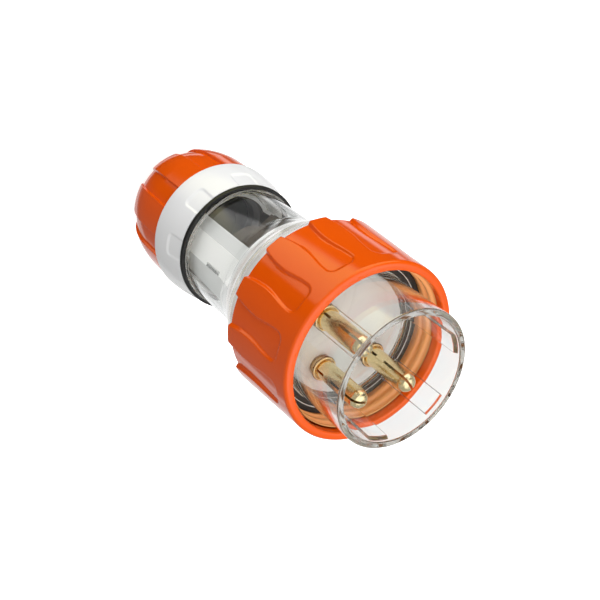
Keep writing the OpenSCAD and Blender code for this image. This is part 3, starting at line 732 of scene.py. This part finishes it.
def cover_cells(outer, inner_radius):
    """A tube on the cover's rows, with the cells of its window left out and their sides closed."""
    n, m = len(cover_angles), len(cover_rows)
    verts = []
    for radius in (outer, np.full(n, inner_radius)):
        for z in cover_rows:
            for r, a in zip(radius, np.radians(cover_angles)):
                verts.append((r * math.cos(a), r * math.sin(a), z))
    inner = n * m

    def solid(i, j):
        middle = cover_angles[j % n] + (cover_angles[(j + 1) % n] - cover_angles[j % n]) % 360 / 2
        return 0 <= i < m - 1 and not (i == 1 and WINDOW_A0 + 360 < middle < WINDOW_A1 + 360)

    faces = []
    for i in range(m - 1):
        for j in range(n):
            if not solid(i, j):
                continue
            k = (j + 1) % n
            a, b, c, d = i * n + j, i * n + k, (i + 1) * n + k, (i + 1) * n + j
            faces += [(a, b, c, d), (inner + d, inner + c, inner + b, inner + a)]
            for p, q, other in ((a, b, (i - 1, j)), (c, d, (i + 1, j)), (b, c, (i, j + 1)),
                                (d, a, (i, j - 1))):
                if not solid(*other):
                    faces.append((q, p, inner + p, inner + q))
    return np.array(verts), faces


cover_flats = COVER_FLAT_R / np.cos(np.radians(wrap(cover_angles - LABEL_MIDDLE, FLAT_PITCH)))
SHADE_LAYER_R = 18
cover_shell = add_piece("cover_shell", *cover_cells(cover_flats, SHADE_LAYER_R), "plug_body", "white_plastic",
                        COVER, 20)
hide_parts("terminal_cover")
# Painted shade: a thin dark brown layer on the cover's inside darkens the faces seen through its window.
add_piece("cover_painted_shade_lining", *cover_cells(np.full(len(cover_angles), SHADE_LAYER_R - 0.02), COVER_IN), "plug_body",
          "white_plastic", BROWN, 20)
SLEEVE_R = SKIRT_IN - 0.15
SLEEVE_TOP = span("pin_retainer")[0][2] - 0.3
turned_piece("cover_sleeve", [
    (COVER_IN, LEDGE_Z + 0.05, 0.2), (SLEEVE_R, LEDGE_Z + 0.05, 0.2), (SLEEVE_R, SLEEVE_TOP, 0.2),
    (SLEEVE_R - 1, SLEEVE_TOP, 0.2), (SLEEVE_R - 1, LEDGE_Z + 2, 0.5), (COVER_IN, LEDGE_Z + 2, 0.2)],
    "plug_body", "white_plastic", WHITE)

# A bare label and a clip on the flats of the terminal cover
LABEL_Z0, LABEL_Z1 = cover_low[2] + 1, LEDGE_Z - 1


def plate_on_flat(angle, across0, across1, z0, z1, out0, out1, edge):
    """A thin plate lying on one of the cover's flats, with its edges eased."""
    a = math.radians(angle)
    normal = np.array([math.cos(a), math.sin(a), 0.0])
    side = np.array([-math.sin(a), math.cos(a), 0.0])
    verts = []
    for inset, out in ((0, out0), (0, out1 - edge), (edge, out1)):
        for s, z in ((across0 + inset, z0 + inset), (across1 - inset, z0 + inset),
                     (across1 - inset, z1 - inset), (across0 + inset, z1 - inset)):
            verts.append(normal * out + side * s + np.array([0, 0, z]))
    faces = [(3, 2, 1, 0), (8, 9, 10, 11)]
    for row in (0, 4):
        faces += [(row + i, row + (i + 1) % 4, row + 4 + (i + 1) % 4, row + 4 + i)
                  for i in range(4)]
    return np.array(verts), faces


add_piece("bare_label", *plate_on_flat(LABEL_MIDDLE, -4.9, 4.9, LABEL_Z0, LABEL_Z1, COVER_FLAT_R,
                                       COVER_FLAT_R + 0.3, 0.1),
          "plug_body", "white_plastic", LABEL, 20)
add_piece("cover_clip", *plate_on_flat(LABEL_MIDDLE, 3.3, 4.7, SHOULDER_Z - 15.5,
                                       SHOULDER_Z - 6, COVER_FLAT_R, COVER_FLAT_R + 0.8, 0.2),
          "plug_body", "steel", STEEL, 20)

# ------------------------------------------------------------ floor, light

floor_mesh = bpy.data.meshes.new("floor")
FLOOR_HALF = 6.0
floor_mesh.from_pydata([(x * FLOOR_HALF, y * FLOOR_HALF, 0) for x, y in
                        ((-1, -1), (1, -1), (1, 1), (-1, 1))], [], [(0, 1, 2, 3)])
floor = bpy.data.objects.new("floor", floor_mesh)
bpy.context.scene.collection.objects.link(floor)
floor_paint, floor_nodes, floor_links, floor_shader = new_material("pale_floor")
floor_shader.inputs["Base Color"].default_value = (0.9, 0.9, 0.9, 1)
floor_shader.inputs["Roughness"].default_value = 0.9
floor_shader.inputs["Emission Color"].default_value = (1, 1, 1, 1)
floor_shader.inputs["Emission Strength"].default_value = 0.75
floor_mesh.materials.append(floor_paint)
floor.visible_diffuse = False
floor.visible_glossy = False
floor.visible_transmission = False
floor.visible_shadow = False

# Light from all round, laid out about the photograph's own right, up and backward directions
world = bpy.data.worlds.new("studio")
bpy.context.scene.world = world
world.use_nodes = True
sky = world.node_tree.nodes
sky_links = world.node_tree.links
background = sky["Background"]
direction = sky.new("ShaderNodeTexCoord")


def towards(axis):
    """How far a direction of view points along an axis, from -1 to 1."""
    made = sky.new("ShaderNodeVectorMath")
    made.operation = "DOT_PRODUCT"
    made.inputs[1].default_value = axis
    sky_links.new(direction.outputs["Generated"], made.inputs[0])
    return made.outputs["Value"]


def step_up(source, low, high, to_low=0.0, to_high=1.0):
    made = sky.new("ShaderNodeMapRange")
    made.interpolation_type = "SMOOTHSTEP"
    made.inputs["From Min"].default_value = low
    made.inputs["From Max"].default_value = high
    made.inputs["To Min"].default_value = to_low
    made.inputs["To Max"].default_value = to_high
    sky_links.new(source, made.inputs["Value"])
    return made.outputs["Result"]


def combine(kind, a, b):
    made = sky.new("ShaderNodeMath")
    made.operation = kind
    for socket, value in zip(made.inputs, (a, b)):
        if isinstance(value, (int, float)):
            socket.default_value = value
        else:
            sky_links.new(value, socket)
    return made.outputs["Value"]


to_right = towards(CAMERA_RIGHT)
to_up = towards([-v for v in CAMERA_DOWN])
to_back = towards([-v for v in CAMERA_FORWARD])
to_front = towards((0, 0, 1))

path = sky.new("ShaderNodeLightPath")
strip = combine("MULTIPLY", step_up(to_back, -0.85, -0.81), step_up(to_back, -0.78, -0.73, 1, 0))
sweep_up = combine("MAXIMUM", strip, step_up(to_back, -0.99, -0.95, 1, 0))
sweep_low = step_up(to_back, -0.99, -0.55, 1, 0)
box_light = combine("MULTIPLY", step_up(to_back, -0.29, -0.19), step_up(to_back, 0.5, 0.6, 1, 0))
box_light = combine("MULTIPLY", box_light, step_up(to_up, 0.64, 0.70))
box_light = combine("MULTIPLY", box_light, step_up(to_right, -0.85, -0.25, 0.45, 1.0))
clear_of_glass = combine("SUBTRACT", 1.0, path.outputs["Is Transmission Ray"])
warmth = combine("MULTIPLY", combine("MULTIPLY", box_light, path.outputs["Is Glossy Ray"]), clear_of_glass)
box_light = combine("MULTIPLY", box_light, 1.9)
low = step_up(to_up, 0.55, 0.30)
low_fill = combine("MULTIPLY", low, step_up(to_up, 0.35, -0.4, 0.12, 0.27))
surround = combine("ADD", low_fill, 0.03)
sweep = combine("MAXIMUM", combine("MULTIPLY", sweep_low, low), sweep_up)
behind = combine("MAXIMUM", step_up(to_back, 0.3, 0.55, 0, 0.35), step_up(to_front, 0.5, 0.85, 0, 1.6))
total = combine("MAXIMUM", combine("MAXIMUM", sweep, box_light), surround)
total = combine("MAXIMUM", total, behind)
boost = combine("ADD", combine("MULTIPLY", path.outputs["Is Diffuse Ray"], 0.3), 1.0)
total = combine("MULTIPLY", total, boost)
inside = combine("MINIMUM", path.outputs["Diffuse Depth"], 1.0)
through = combine("ADD", combine("MULTIPLY", inside, 0.5), 0.45)
through = combine("MULTIPLY", path.outputs["Is Transmission Ray"], through)
total = combine("MAXIMUM", total, through)
seen = combine("MAXIMUM", total, path.outputs["Is Camera Ray"])
sky_links.new(seen, background.inputs["Strength"])
tint = sky.new("ShaderNodeMix")
tint.data_type = "RGBA"
tint.inputs["A"].default_value = (1, 1, 1, 1)
tint.inputs["B"].default_value = (1, 0.96, 0.40, 1)
sky_links.new(warmth, tint.inputs["Factor"])
sky_links.new(tint.outputs["Result"], background.inputs["Color"])

# ---------------------------------------------------------------- camera

camera_data = bpy.data.cameras.new("camera")
camera_data.lens = LENS
camera_data.sensor_width = SENSOR
camera_data.clip_start = 0.01
camera_data.clip_end = 50
camera = bpy.data.objects.new("camera", camera_data)
bpy.context.scene.collection.objects.link(camera)
basis = Matrix([CAMERA_RIGHT, [-v for v in CAMERA_DOWN], [-v for v in CAMERA_FORWARD]]).transposed()
camera.matrix_world = Matrix.Translation(Vector(CAMERA_AT) * MM) @ basis.to_4x4()
bpy.context.scene.camera = camera
bpy.context.scene.view_settings.view_transform = "Standard"
# Light keeps its direction through clear plastic, and may run far along inside its walls
paths = bpy.context.scene.cycles
paths.blur_glossy = 0.0
paths.max_bounces = 32
paths.glossy_bounces = 24
paths.transmission_bounces = 32
